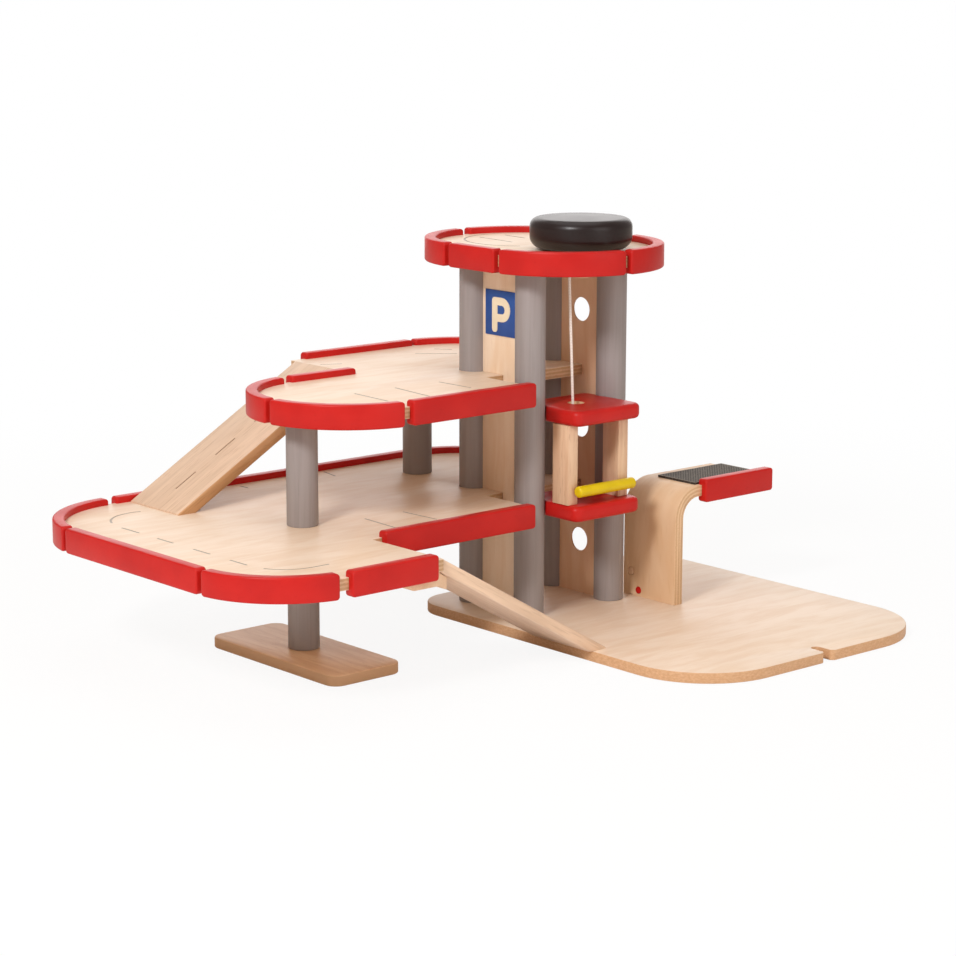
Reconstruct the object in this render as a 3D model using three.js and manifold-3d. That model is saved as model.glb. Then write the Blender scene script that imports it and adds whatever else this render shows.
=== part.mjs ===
// Toy parking garage with a hand-wound lift, in millimetres, +Z up, its front towards -Y.
// Birch ply decks in grooved red rims stand on dowel posts, joined by ramps, round a lift tower.
// Plan places are counted from the axis of the tower's front left post, heights from the base board's top.

import * as THREE from 'three';
import { mergeVertices } from 'three/addons/utils/BufferGeometryUtils.js';
import Module from 'manifold-3d';

const wasm = await Module();
wasm.setup();

// Stock and clearances
const dowelDiameter = 25.4;
const plyThickness = 9.5;
const boardThickness = 9;
const wallThickness = 5;
const glueGap = 0.3;
const runningGap = 1;
const overrun = 5;
const arcSag = 0.12;
const leastStepShare = 0.1;

// Red rims: a grooved bar that takes the ply's edge
const rimHeight = 20;
const rimThickness = 9.5;
const rimGrooveDepth = 4.5;
const rimChamfer = 2;
const rimJoint = 5;
const wideRimJoint = 8;

// Tower of four posts and two walls, and the tops of the three decks
const towerWidth = 92.5;
const towerDepth = 70.2;
const midLevel = 100.5;
const upperLevel = 200.75;
const topLevel = 306;
const wallRebate = 4;
const wallInset = 1.2;
const windowDiameter = 20.5;
const windowFromFront = 33.5;
const windowHeight = 47;
const windowPitch = 100.5;

// Parking sign on the left wall
const signFrontGap = 2.8;
const signBackGap = 4;
const signThickness = 1;
const signCorner = 1.5;
const signBelowTop = 34.6;
const letterHeight = 29.4;
const letterWidth = 22.4;
const letterStroke = 6.6;
const letterBowlShare = 0.347;
const letterFrontGap = 6.8;
const letterBottomGap = 2.7;
const letterRelief = 0.4;

// Outline shared by the middle and the upper deck, to the rims' outer faces
const deckCorner = 82;
const deckBack = 214;
const deckRightMargin = 27.5;
const laneFront = 40;
const towerSideEdge = 20;
const towerSideCorner = 14;
const shaftEdge = 32.5;

// Middle deck
const midDeckLeft = 368.5;
const midDeckFront = 126;
const midBackLeftCorner = 87.5;
const stripRight = 196;
const stripRimSetback = 8.4;
const midFrontRimStart = 186.2;
const frontRimEnd = 28.5;
const frontCornerRimEnd = 298;
const stripRimStart = 287;
const midLeftRimBack = 133.5;
const midBackRimJoint = 78;
const rightRimSetback = 5;
const backRimLead = 6;

// Upper deck with its round loop end
const loopCentreX = 157.7;
const loopSideJointDegrees = 181;
const laneLeft = 89;
const loopBackRimEnd = 168;
const dividerRimLeft = 159;
const dividerRimRight = 92;
const upperBackRimEnd = 75.4;

// Top deck, a rounded oblong over the tower
const topHalfWidth = 83;
const topHalfLength = 109;
const topCentreY = 35.5;
const topSideRimLead = 5;
const topFrontJointDegrees = 266.4;

// Posts beside the tower
const loopPostX = 205;
const backPostY = 146;

// Base board with its connector slot, and the loop post's foot board
const baseLeft = 38;
const baseRight = 246;
const baseFront = 241.5;
const baseBack = 106;
const baseFrontCorner = 72;
const baseBackCorner = 30;
const slotX = 106;
const slotWidth = 8;
const slotDepth = 18;
const slotLip = 3;
const footLeft = 242;
const footRight = 172;
const footFront = 44;
const footBack = 121;
const footCorner = 11;

// Ramps and the cleats that carry their upper ends
const rampDegrees = 30;
const rampThickness = 10;
const rampWidth = 69;
const rampTip = 1.2;
const smallRampFront = 119;
const bigRampBackGap = 1.5;
const cleatLength = 29;
const cleatHeight = 12.5;
const cleatNose = 7;
const cleatNoseHeight = 16.5;
const cleatSetback = 2.5;
const cleatCorner = 5;

// Winding dial on the top deck, its axle and the spool under the deck
const dialY = 10.5;
const dialDiameter = 85;
const dialHeight = 25.5;
const dialEdge = 10;
const dialStandoff = 1.5;
const dialBoreDepth = 15;
const washerDiameter = 24;
const axleDiameter = 10;
const spoolHeight = 13;
const spoolCoreDiameter = 16;
const spoolFlangeDiameter = 26;
const spoolFlangeThickness = 1;

// Lift cord
const cordDiameter = 2.3;
const cordSides = 8;
const woundSides = 6;
const loopSteps = 24;
const bendSteps = 4;
const woundTurns = 2;
const woundPitch = 2.75;
const cordLeaveDegrees = 192.5;
const cordBend = 4.6;
const cordStepShare = 3;
const cordHoleLeft = 9;
const cordHoleFront = 2;
const cordRecessLeft = 5.75;
const cordRecessDiameter = 14;
const cordRecessDepth = 6;
const knotDiameter = 6;
const knotHeight = 5;
const knotShoulderShare = 0.7;
const knotReachShare = 0.4;

// Lift car, drawn with its bottom plate just under the middle deck
const liftRest = 85.5;
const liftWidth = 75;
const liftFront = 48.5;
const liftBack = 22;
const liftCorner = 8;
const liftPlate = 13;
const liftPlateChamfer = 2;
const liftPostHeight = 67;
const liftPostWidth = 10.8;
const liftPostDepth = 19.2;
const liftPostLeftInset = 1.25;
const liftPostRightInset = 5.65;
const liftPostFront = 36.5;
const gateDiameter = 9.5;
const gateLength = 64.5;
const gateTail = 7.4;
const gateHeight = 24.5;
const gateEdge = 2.5;
const gatePinDiameter = 3;
const gatePinInPost = 10;

// Bent ply service shelf
const shelfLegMargin = 23.5;
const shelfHeight = 101;
const shelfReach = 106;
const shelfBack = 5.5;
const shelfBend = 27;
const shelfRimFront = 62;
const shelfRimReach = 114.6;
const shelfRimLead = 4;
const matThickness = 2;
const matReach = 105.5;
const matBack = 8;
const pinDiameter = 6;
const pinLength = 8;
const pinProud = 0.5;
const pinY = 13;
const pinHeight = 5.4;
const plugDiameter = 7;
const plugY = 3.3;
const plugHeight = 20.8;

// Sizes worked out from the ones above
const dowelRadius = dowelDiameter / 2;
const postHeight = topLevel - plyThickness;
const rimLip = (rimHeight - plyThickness) / 2;
const plyInset = rimThickness - rimGrooveDepth + glueGap;
const loopCentreY = deckCorner - laneFront;
const towerCentreX = towerWidth / 2;
const deckRight = towerWidth + deckRightMargin;
const deckCornerX = deckRight - deckCorner;
const bigRampFront = deckBack - rimThickness - bigRampBackGap - rampWidth;
const backRimRight = deckCornerX + backRimLead;
const signFromFront = dowelRadius + signFrontGap;
const signSize = towerDepth - dowelDiameter - signFrontGap - signBackGap;
const shelfLegX = towerWidth + shelfLegMargin;
const shelfEnd = shelfLegX + shelfReach;
const shelfRimEnd = shelfLegX + shelfRimReach;
const matEnd = shelfLegX + matReach;
const rampSlope = THREE.MathUtils.degToRad(rampDegrees);
const rampPlumb = rampThickness / Math.cos(rampSlope);
const spoolBottom = postHeight - glueGap - spoolHeight;
const woundRadius = (spoolCoreDiameter + cordDiameter) / 2 + glueGap;
const woundTop = postHeight - 2 * glueGap - spoolFlangeThickness - cordDiameter / 2;
const woundBottom = woundTop - woundTurns * woundPitch;

const materials = {
  ply: paint(0xead9b8, 0.55),
  red: paint(0xc5281f, 0.35),
  grey: paint(0x8d8b90, 0.45),
  beech: paint(0xd9b283, 0.55),
  black: paint(0x18161a, 0.22),
  yellow: paint(0xe3c513, 0.35),
  blue: paint(0x1d4f9c, 0.5),
  cream: paint(0xf2ead6, 0.5),
  mat: paint(0x3b423e, 0.9),
  cord: paint(0xf1ede6, 0.85),
  steel: paint(0xb9bbbd, 0.3, 1),
};

function paint(color, roughness, metalness = 0) {
  return new THREE.MeshStandardMaterial({ color, roughness, metalness });
}

function piece(name, geometry, material, x = 0, y = 0, z = 0) {
  const mesh = new THREE.Mesh(geometry, material);
  mesh.name = name;
  mesh.position.set(x, y, z);
  return mesh;
}

function groupOf(pieces, x = 0, y = 0, z = 0) {
  const group = new THREE.Group();
  group.add(...pieces);
  group.position.set(x, y, z);
  return group;
}

// Outlines: an arc gets as many steps as keep it within arcSag of the true curve
function arcSteps(radius, sweep) {
  const step = 2 * Math.acos(1 - Math.min(arcSag / radius, 1));
  return Math.max(2, Math.ceil(Math.abs(sweep) / step));
}

function arcPoints(x, y, radius, start, sweep) {
  const steps = arcSteps(radius, sweep);
  return Array.from({ length: steps + 1 }, (_, index) => {
    const angle = start + (sweep * index) / steps;
    return new THREE.Vector2(x + radius * Math.cos(angle), y + radius * Math.sin(angle));
  });
}

function circle(radius, x = 0, y = 0) {
  return arcPoints(x, y, radius, 0, 2 * Math.PI).slice(1);
}

// Closed outline through corners [x, y, radius]
function rounded(corners) {
  const points = corners.flatMap(([x, y, radius = 0], index) => {
    const corner = new THREE.Vector2(x, y);
    if (radius === 0) return [corner];
    const [beforeX, beforeY] = corners.at(index - 1);
    const [afterX, afterY] = corners[(index + 1) % corners.length];
    const back = new THREE.Vector2(beforeX, beforeY).sub(corner).normalize();
    const ahead = new THREE.Vector2(afterX, afterY).sub(corner).normalize();
    const half = back.angleTo(ahead) / 2;
    const middle = back.clone().add(ahead).normalize();
    const centre = corner.clone().addScaledVector(middle, radius / Math.sin(half));
    const start = corner.clone().addScaledVector(back, radius / Math.tan(half)).sub(centre);
    const turn = Math.sign(ahead.cross(back)) * (Math.PI - 2 * half);
    return arcPoints(centre.x, centre.y, radius, Math.atan2(start.y, start.x), turn);
  });
  return points.filter((point, index) => point.distanceTo(points.at(index - 1)) > arcSag * leastStepShare);
}

function rectangle(left, front, right, back, radius = 0) {
  return rounded([[left, front, radius], [right, front, radius], [right, back, radius], [left, back, radius]]);
}

// Solids: an outline drawn up from z = 0, with holes and a chamfer round both faces
function extruded(points, height, chamfer = 0, holes = []) {
  const shape = new THREE.Shape(THREE.ShapeUtils.isClockWise(points) ? points.toReversed() : points);
  shape.holes = holes.map((hole) => new THREE.Path(hole));
  const settings = {
    depth: height - 2 * chamfer,
    bevelEnabled: chamfer > 0,
    bevelSegments: 1,
    bevelSize: chamfer,
    bevelThickness: chamfer,
    bevelOffset: -chamfer,
  };
  return new THREE.ExtrudeGeometry(shape, settings).translate(0, 0, chamfer);
}

// Turns a piece drawn in X and Z, and extruded by its width, to run backwards from y = 0
function acrossY(geometry, width) {
  return geometry.rotateX(Math.PI / 2).translate(0, width, 0);
}

// Turns a piece drawn in Y and Z to have its thickness along X
function acrossX(geometry) {
  const basis = new THREE.Matrix4().makeBasis(
    new THREE.Vector3(0, 1, 0), new THREE.Vector3(0, 0, 1), new THREE.Vector3(1, 0, 0));
  return geometry.applyMatrix4(basis);
}

function rod(radius, length) {
  return extruded(circle(radius), length);
}

function rodX(radius, length, x, y, z) {
  return acrossX(rod(radius, length)).translate(x, y, z);
}

function rodY(radius, length, x, y, z) {
  return acrossY(rod(radius, length), length).translate(x, y, z);
}

// A turned piece from its profile of [radius, height] points
function turned(profile, radius) {
  const points = profile.map(([x, y]) => new THREE.Vector2(x, y));
  return new THREE.LatheGeometry(points, arcSteps(radius, 2 * Math.PI)).rotateX(Math.PI / 2);
}

function manifold(geometry) {
  const bare = new THREE.BufferGeometry();
  bare.setAttribute('position', geometry.attributes.position);
  bare.setIndex(geometry.index);
  const merged = mergeVertices(bare);
  return new wasm.Manifold(new wasm.Mesh({
    numProp: 3,
    vertProperties: new Float32Array(merged.attributes.position.array),
    triVerts: new Uint32Array(merged.index.array),
  }));
}

function cut(body, ...tools) {
  const left = tools.reduce((rest, tool) => rest.subtract(manifold(tool)), manifold(body));
  const { vertProperties, triVerts } = left.getMesh();
  const geometry = new THREE.BufferGeometry();
  geometry.setAttribute('position', new THREE.BufferAttribute(vertProperties, 3));
  geometry.setIndex(new THREE.BufferAttribute(triVerts, 1));
  geometry.computeVertexNormals();
  return geometry;
}

// Directions in plan, in degrees from +X
const towardsBack = 90;
const towardsLeft = 180;
const towardsFront = 270;
const fullTurn = 360;

// A rim's path runs along its outer face with the deck on its left; each point keeps the way inwards
function straight(fromX, fromY, toX, toY) {
  const along = new THREE.Vector2(toX - fromX, toY - fromY).normalize();
  const inwards = new THREE.Vector2(-along.y, along.x);
  return [new THREE.Vector2(fromX, fromY), new THREE.Vector2(toX, toY)].map((at) => ({ at, inwards }));
}

function bend(x, y, radius, startDegrees, endDegrees) {
  const start = THREE.MathUtils.degToRad(startDegrees);
  const sweep = THREE.MathUtils.degToRad(endDegrees) - start;
  const centre = new THREE.Vector2(x, y);
  return arcPoints(x, y, radius, start, sweep)
    .map((at) => ({ at, inwards: centre.clone().sub(at).normalize() }));
}

function lengthened(path, length) {
  const first = path[0];
  const last = path.at(-1);
  const along = ({ inwards }) => new THREE.Vector2(inwards.y, -inwards.x);
  return [
    { at: first.at.clone().addScaledVector(along(first), -length), inwards: first.inwards },
    ...path,
    { at: last.at.clone().addScaledVector(along(last), length), inwards: last.inwards },
  ];
}

function band(path, near, far) {
  const offset = (distance) => path.map(({ at, inwards }) => at.clone().addScaledVector(inwards, distance));
  return [...offset(near), ...offset(far).reverse()];
}

function rim(name, path, level) {
  const bar = extruded(band(path, 0, rimThickness), rimHeight, rimChamfer);
  const sides = band(lengthened(path, overrun), rimThickness - rimGrooveDepth, rimThickness + overrun);
  const groove = extruded(sides, plyThickness).translate(0, 0, rimLip);
  return piece(name, cut(bar, groove), materials.red, 0, 0, level - plyThickness - rimLip);
}

// Gap between two rims along an arc, as an angle
function jointDegrees(radius, joint = rimJoint) {
  return THREE.MathUtils.radToDeg(joint / radius);
}

// Base boards
function baseBoard() {
  const outline = rounded([
    [-baseLeft, -baseFront, baseFrontCorner], [baseRight, -baseFront, baseFrontCorner],
    [baseRight, baseBack, baseBackCorner], [-baseLeft, baseBack, baseBackCorner],
  ]);
  const side = slotWidth / 2;
  const slotEnd = slotDepth - baseFront;
  const slot = rounded([
    [slotX - side - slotLip, -baseFront - overrun], [slotX + side + slotLip, -baseFront - overrun],
    [slotX + side + slotLip, -baseFront], [slotX + side, slotLip - baseFront],
    [slotX + side, slotEnd, side], [slotX - side, slotEnd, side],
    [slotX - side, slotLip - baseFront], [slotX - side - slotLip, -baseFront],
  ]);
  const board = extruded(outline, boardThickness);
  const slotTool = extruded(slot, boardThickness + 2 * overrun).translate(0, 0, -overrun);
  return piece('base_board', cut(board, slotTool), materials.ply, 0, 0, -boardThickness);
}

function footBoard() {
  const board = extruded(rectangle(-footLeft, -footFront, -footRight, footBack, footCorner), boardThickness);
  return piece('foot_board', board, materials.beech, 0, 0, -boardThickness);
}

// Each wall stands a little inside the middles of its two posts
function wallMiddle(postX) {
  return postX > 0 ? postX - wallInset : postX + wallInset;
}

// Tower posts, each with a groove up its side for the wall's edge
function towerPost(name, x, y, grooveSide) {
  const middle = (wallMiddle(x) - x) * grooveSide;
  const groove = extruded(
    rectangle(middle - wallThickness / 2, dowelRadius - wallRebate, middle + wallThickness / 2, dowelRadius + overrun),
    postHeight + 2 * overrun).translate(0, 0, -overrun);
  if (grooveSide < 0) groove.rotateZ(Math.PI);
  return piece(name, cut(rod(dowelRadius, postHeight), groove), materials.grey, x, y, 0);
}

// Tower walls, slotted from their back edge where the decks run through
function wallOutline() {
  const front = dowelRadius - wallRebate + glueGap;
  const back = towerDepth - front;
  const slotFront = shaftEdge - glueGap;
  const slots = [midLevel, upperLevel].flatMap((level) => [
    [back, level - plyThickness], [slotFront, level - plyThickness], [slotFront, level], [back, level],
  ]);
  return rounded([[front, 0], [back, 0], ...slots, [back, postHeight], [front, postHeight]]);
}

function wall(name, x, holes) {
  const board = acrossX(extruded(wallOutline(), wallThickness, 0, holes));
  return piece(name, board, materials.ply, wallMiddle(x) - wallThickness / 2, 0, 0);
}

function windows() {
  return [0, 1, 2].map((storey) => (
    circle(windowDiameter / 2, windowFromFront, windowHeight + storey * windowPitch)));
}

// Square sign with a plain raised letter P, which reads from the left
function parkingSign() {
  const bottom = topLevel - signBelowTop - signSize;
  const plate = acrossX(extruded(rectangle(0, 0, signSize, signSize, signCorner), signThickness));
  const face = wallMiddle(0) - wallThickness / 2 - signThickness;
  return [
    piece('parking_sign', plate, materials.blue, face, signFromFront, bottom),
    piece('parking_letter', acrossX(parkingLetter()), materials.cream,
      face - letterRelief, signFromFront + letterFrontGap + letterWidth, bottom + letterBottomGap),
  ];
}

function parkingLetter() {
  const bowl = letterHeight * letterBowlShare;
  const outline = rounded([
    [0, 0], [-letterStroke, 0], [-letterStroke, letterHeight - 2 * bowl],
    [-letterWidth, letterHeight - 2 * bowl, bowl - arcSag], [-letterWidth, letterHeight, bowl - arcSag],
    [0, letterHeight],
  ]);
  const eye = bowl - letterStroke;
  const hole = rounded([
    [-letterStroke, letterHeight - bowl - eye], [-letterWidth + letterStroke, letterHeight - bowl - eye, eye - arcSag],
    [-letterWidth + letterStroke, letterHeight - bowl + eye, eye - arcSag], [-letterStroke, letterHeight - bowl + eye],
  ]);
  return extruded(outline, letterRelief, 0, [hole]);
}

function tower() {
  return [
    towerPost('tower_post_front_left', 0, 0, 1),
    towerPost('tower_post_front_right', towerWidth, 0, 1),
    towerPost('tower_post_back_left', 0, towerDepth, -1),
    towerPost('tower_post_back_right', towerWidth, towerDepth, -1),
    wall('tower_wall_left', 0, []),
    wall('tower_wall_right', towerWidth, windows()),
    ...parkingSign(),
  ];
}

// Decks: the part of the outline round the tower is the same on both levels
function towerSideCorners() {
  const right = deckRight - plyInset;
  return [
    [-towerSideEdge, plyInset - laneFront, towerSideCorner], [-towerSideEdge, shaftEdge], [right, shaftEdge],
    [right, deckBack - plyInset, deckCorner - plyInset],
  ];
}

function deck(name, outline, level) {
  const postHole = dowelRadius + glueGap;
  const holes = [circle(postHole, 0, towerDepth), circle(postHole, towerWidth, towerDepth)];
  return piece(name, extruded(outline, plyThickness, 0, holes), materials.ply, 0, 0, level - plyThickness);
}

function midDeck() {
  const left = plyInset - midDeckLeft;
  const radius = deckCorner - plyInset;
  return deck('mid_deck', rounded([
    [left, plyInset - midDeckFront, radius], [-stripRight, plyInset - midDeckFront],
    [-stripRight, plyInset - laneFront], ...towerSideCorners(),
    [left, deckBack - plyInset, midBackLeftCorner - plyInset],
  ]), midLevel);
}

function upperDeck() {
  const radius = deckCorner - plyInset;
  const left = -loopCentreX - radius;
  return deck('upper_deck', rounded([
    [left, loopCentreY - radius, radius], ...towerSideCorners(),
    [-laneLeft, deckBack - plyInset], [-laneLeft, loopCentreY + radius], [left, loopCentreY + radius, radius],
  ]), upperLevel);
}

function topDeck() {
  const width = topHalfWidth - plyInset;
  const length = topHalfLength - plyInset;
  const outline = rectangle(
    towerCentreX - width, topCentreY - length, towerCentreX + width, topCentreY + length, width);
  const axleHole = circle(axleDiameter / 2 + glueGap, towerCentreX, -dialY);
  return piece('top_deck', extruded(outline, plyThickness, 0, [axleHole]), materials.ply, 0, 0, postHeight);
}

// Rims, named by where they lie
function sideAndBackRims(prefix, level) {
  const gap = jointDegrees(deckCorner);
  const cornerY = deckBack - deckCorner;
  return [
    rim(`${prefix}_rim_right`,
      straight(deckRight, shaftEdge + rightRimSetback, deckRight, cornerY - rimJoint), level),
    rim(`${prefix}_rim_back_right_corner`, bend(deckCornerX, cornerY, deckCorner, 0, towardsBack - 2 * gap), level),
  ];
}

function midRims() {
  const gap = jointDegrees(deckCorner);
  const cornerX = deckCorner - midDeckLeft;
  const frontY = deckCorner - midDeckFront;
  const frontCosine = (frontCornerRimEnd - midDeckLeft + deckCorner) / deckCorner;
  const frontEnd = towardsLeft + THREE.MathUtils.radToDeg(Math.acos(frontCosine));
  const backX = midBackLeftCorner - midDeckLeft;
  const backY = deckBack - midBackLeftCorner;
  const backSine = (midLeftRimBack + rimJoint - backY) / midBackLeftCorner;
  const backEnd = towardsLeft - THREE.MathUtils.radToDeg(Math.asin(backSine));
  const jointX = rimJoint / 2;
  return [
    rim('mid_rim_left', straight(-midDeckLeft, midLeftRimBack, -midDeckLeft, frontY), midLevel),
    rim('mid_rim_front_left_corner', bend(cornerX, frontY, deckCorner, towardsLeft + gap, frontEnd), midLevel),
    rim('mid_rim_front_strip',
      straight(-stripRimStart, -midDeckFront, -stripRight - stripRimSetback, -midDeckFront), midLevel),
    rim('mid_rim_front', straight(-midFrontRimStart, -laneFront, -frontRimEnd, -laneFront), midLevel),
    rim('mid_rim_back_short', straight(backRimRight, deckBack, jointX - midBackRimJoint, deckBack), midLevel),
    rim('mid_rim_back_long',
      straight(-jointX - midBackRimJoint, deckBack, backX + wideRimJoint, deckBack), midLevel),
    rim('mid_rim_back_left_corner', bend(backX, backY, midBackLeftCorner, towardsBack, backEnd), midLevel),
    ...sideAndBackRims('mid', midLevel),
  ];
}

function upperRims() {
  const gap = jointDegrees(deckCorner);
  const backSine = (loopBackRimEnd - loopCentreX) / deckCorner;
  const loopBack = towardsBack + THREE.MathUtils.radToDeg(Math.asin(backSine));
  const loopFront = towardsFront - jointDegrees(deckCorner, wideRimJoint);
  const loop = (start, end) => bend(-loopCentreX, loopCentreY, deckCorner, start, end);
  const dividerY = loopCentreY + deckCorner;
  return [
    rim('upper_rim_loop_back', loop(loopBack, loopSideJointDegrees - gap / 2), upperLevel),
    rim('upper_rim_loop_front', loop(loopSideJointDegrees + gap / 2, loopFront), upperLevel),
    rim('upper_rim_front', straight(-loopCentreX, -laneFront, -frontRimEnd, -laneFront), upperLevel),
    rim('upper_rim_divider', straight(-dividerRimRight, dividerY, -dividerRimLeft, dividerY), upperLevel),
    rim('upper_rim_back', straight(backRimRight, deckBack, -upperBackRimEnd, deckBack), upperLevel),
    ...sideAndBackRims('upper', upperLevel),
  ];
}

function topRims() {
  const gap = jointDegrees(topHalfWidth);
  const frontY = topCentreY - topHalfLength + topHalfWidth;
  const backY = topCentreY + topHalfLength - topHalfWidth;
  const left = towerCentreX - topHalfWidth;
  const right = towerCentreX + topHalfWidth;
  const frontArc = (start, end) => bend(towerCentreX, frontY, topHalfWidth, start, end);
  const backArc = (start, end) => bend(towerCentreX, backY, topHalfWidth, start, end);
  const sideEnd = towardsLeft + THREE.MathUtils.radToDeg(Math.asin(topSideRimLead / topHalfWidth));
  const leftPath = [...straight(left, backY, left, frontY).slice(0, 1), ...frontArc(towardsLeft, sideEnd)];
  return [
    rim('top_rim_left', leftPath, topLevel),
    rim('top_rim_front_left', frontArc(sideEnd + gap, topFrontJointDegrees - gap / 2), topLevel),
    rim('top_rim_front_right', frontArc(topFrontJointDegrees + gap / 2, fullTurn), topLevel),
    rim('top_rim_right', straight(right, frontY + rimJoint, right, backY), topLevel),
    rim('top_rim_back_right', backArc(gap, towardsBack + gap / 2 - jointDegrees(topHalfWidth, wideRimJoint)), topLevel),
    rim('top_rim_back_left', backArc(towardsBack + gap / 2, towardsLeft - gap), topLevel),
  ];
}

// Posts beside the tower
function sidePosts() {
  const upperPost = upperLevel - plyThickness - midLevel;
  return [
    piece('loop_post_lower', rod(dowelRadius, midLevel - plyThickness), materials.grey, -loopPostX, loopCentreY, 0),
    piece('loop_post_upper', rod(dowelRadius, upperPost), materials.grey, -loopPostX, loopCentreY, midLevel),
    piece('back_post', rod(dowelRadius, upperPost), materials.grey, 0, backPostY, midLevel),
  ];
}

// A ramp falls from x = 0 the way that direction says, and a cleat holds it up under the deck's edge
function ramp(rise, direction) {
  const foot = rise / Math.tan(rampSlope);
  const tipX = foot - rampTip / Math.tan(rampSlope);
  const heelX = foot - rampThickness / Math.sin(rampSlope);
  const profile = [[0, rise], [tipX, rampTip], [tipX, 0], [heelX, 0], [0, rise - rampPlumb]];
  const outline = rounded(profile.map(([x, z]) => [direction * x, z]));
  return acrossY(extruded(outline, rampWidth), rampWidth);
}

function cleat(direction) {
  const ledge = plyThickness - rampPlumb - glueGap / Math.cos(rampSlope);
  const noseTop = ledge - (cleatNose + glueGap) * Math.tan(rampSlope);
  const profile = [
    [-cleatLength, 0, 0], [0, 0, 0], [0, ledge, 0], [cleatNose, noseTop, 0], [cleatNose, -cleatNoseHeight, 0],
    [0, -cleatHeight, 0], [-cleatLength, -cleatHeight, cleatCorner],
  ];
  const width = rampWidth - 2 * cleatSetback;
  const outline = rounded(profile.map(([x, z, radius]) => [direction * x, z, radius]));
  return acrossY(extruded(outline, width), width);
}

function ramps() {
  const midUnder = midLevel - plyThickness;
  const upperUnder = upperLevel - plyThickness;
  return [
    piece('small_ramp', ramp(midLevel, 1), materials.beech, glueGap - stripRight, -smallRampFront, 0),
    piece('small_ramp_cleat', cleat(1), materials.beech, -stripRight, cleatSetback - smallRampFront, midUnder),
    piece('big_ramp', ramp(upperLevel - midLevel, -1), materials.beech, -laneLeft - glueGap, bigRampFront, midLevel),
    piece('big_ramp_cleat', cleat(-1), materials.beech, -laneLeft, bigRampFront + cleatSetback, upperUnder),
  ];
}

// Winding gear, drawn round the axle with z = 0 at the top deck's upper face
function dial() {
  const radius = dialDiameter / 2;
  const inner = radius - dialEdge;
  const bore = axleDiameter / 2 + glueGap;
  const lower = arcPoints(inner, dialEdge, dialEdge, -Math.PI / 2, Math.PI / 2);
  const upper = arcPoints(inner, dialHeight - dialEdge, dialEdge, 0, Math.PI / 2);
  const profile = [
    [0, dialBoreDepth], [bore, dialBoreDepth], [bore, 0],
    ...[...lower, ...upper].map(({ x, y }) => [x, y]), [0, dialHeight],
  ];
  return turned(profile, radius);
}

function ring(outer, inner, height) {
  return extruded(circle(outer), height, 0, [circle(inner)]);
}

function spool() {
  const bore = axleDiameter / 2 + glueGap;
  const flange = spoolHeight - spoolFlangeThickness;
  const core = spoolCoreDiameter / 2;
  const lip = spoolFlangeDiameter / 2;
  return turned([
    [bore, 0], [core, 0], [core, flange], [lip, flange], [lip, spoolHeight], [bore, spoolHeight], [bore, 0],
  ], lip);
}

function windingGear() {
  const axleLength = postHeight - spoolBottom + plyThickness + dialStandoff + dialBoreDepth;
  const washer = ring(washerDiameter / 2, axleDiameter / 2 + glueGap, dialStandoff - glueGap);
  return groupOf([
    piece('dial', dial(), materials.black, 0, 0, dialStandoff),
    piece('dial_washer', washer, materials.beech),
    piece('dial_axle', rod(axleDiameter / 2, axleLength), materials.beech, 0, 0, spoolBottom - topLevel),
    piece('spool', spool(), materials.beech, 0, 0, spoolBottom - topLevel),
    piece('wound_cord', tube(woundPath(), woundSides, woundStepCount()), materials.cord, 0, 0, woundBottom - topLevel),
  ], towerCentreX, -dialY, topLevel);
}

// Cord: its turns start from the hanging end, which bends up from below into the lowest turn
function woundStart() {
  const angle = THREE.MathUtils.degToRad(cordLeaveDegrees);
  const at = new THREE.Vector3(woundRadius * Math.cos(angle), woundRadius * Math.sin(angle), 0);
  const along = new THREE.Vector3(-Math.sin(angle), Math.cos(angle), 0);
  return { angle, at, along };
}

function woundStepCount() {
  return woundTurns * loopSteps + bendSteps + 2;
}

function woundPath() {
  const { angle, at, along } = woundStart();
  const bottom = at.clone().addScaledVector(along, -cordBend).add(new THREE.Vector3(0, 0, -cordBend - cordDiameter));
  const lead = Array.from({ length: bendSteps }, (_, index) => {
    const turn = (Math.PI / 2) * (index / bendSteps);
    return at.clone().addScaledVector(along, -cordBend * Math.cos(turn))
      .add(new THREE.Vector3(0, 0, cordBend * (Math.sin(turn) - 1)));
  });
  const turns = Array.from({ length: woundTurns * loopSteps + 1 }, (_, index) => {
    const round = index / loopSteps;
    const here = angle + 2 * Math.PI * round;
    return new THREE.Vector3(woundRadius * Math.cos(here), woundRadius * Math.sin(here), woundPitch * round);
  });
  const onwards = turns.at(-1).clone().sub(turns.at(-2)).setLength(cordDiameter);
  const tail = turns.at(-1).clone().add(onwards);
  return [bottom, ...lead, ...turns, tail];
}

// Least space between two stretches of the winding that lie over half a turn apart
function leastWoundGap() {
  const points = woundPath();
  const apart = loopSteps / 2;
  const distances = points.flatMap((point, index) => (
    points.slice(index + apart).map((other) => point.distanceTo(other))));
  return Math.min(...distances) - cordDiameter;
}

function tube(points, sides, steps) {
  const section = new THREE.Shape(
    Array.from({ length: sides }, (_, index) => {
      const angle = (2 * Math.PI * index) / sides;
      return new THREE.Vector2((cordDiameter / 2) * Math.cos(angle), (cordDiameter / 2) * Math.sin(angle));
    }));
  const path = new THREE.CatmullRomCurve3(points);
  return new THREE.ExtrudeGeometry(section, { steps, bevelEnabled: false, extrudePath: path });
}

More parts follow.
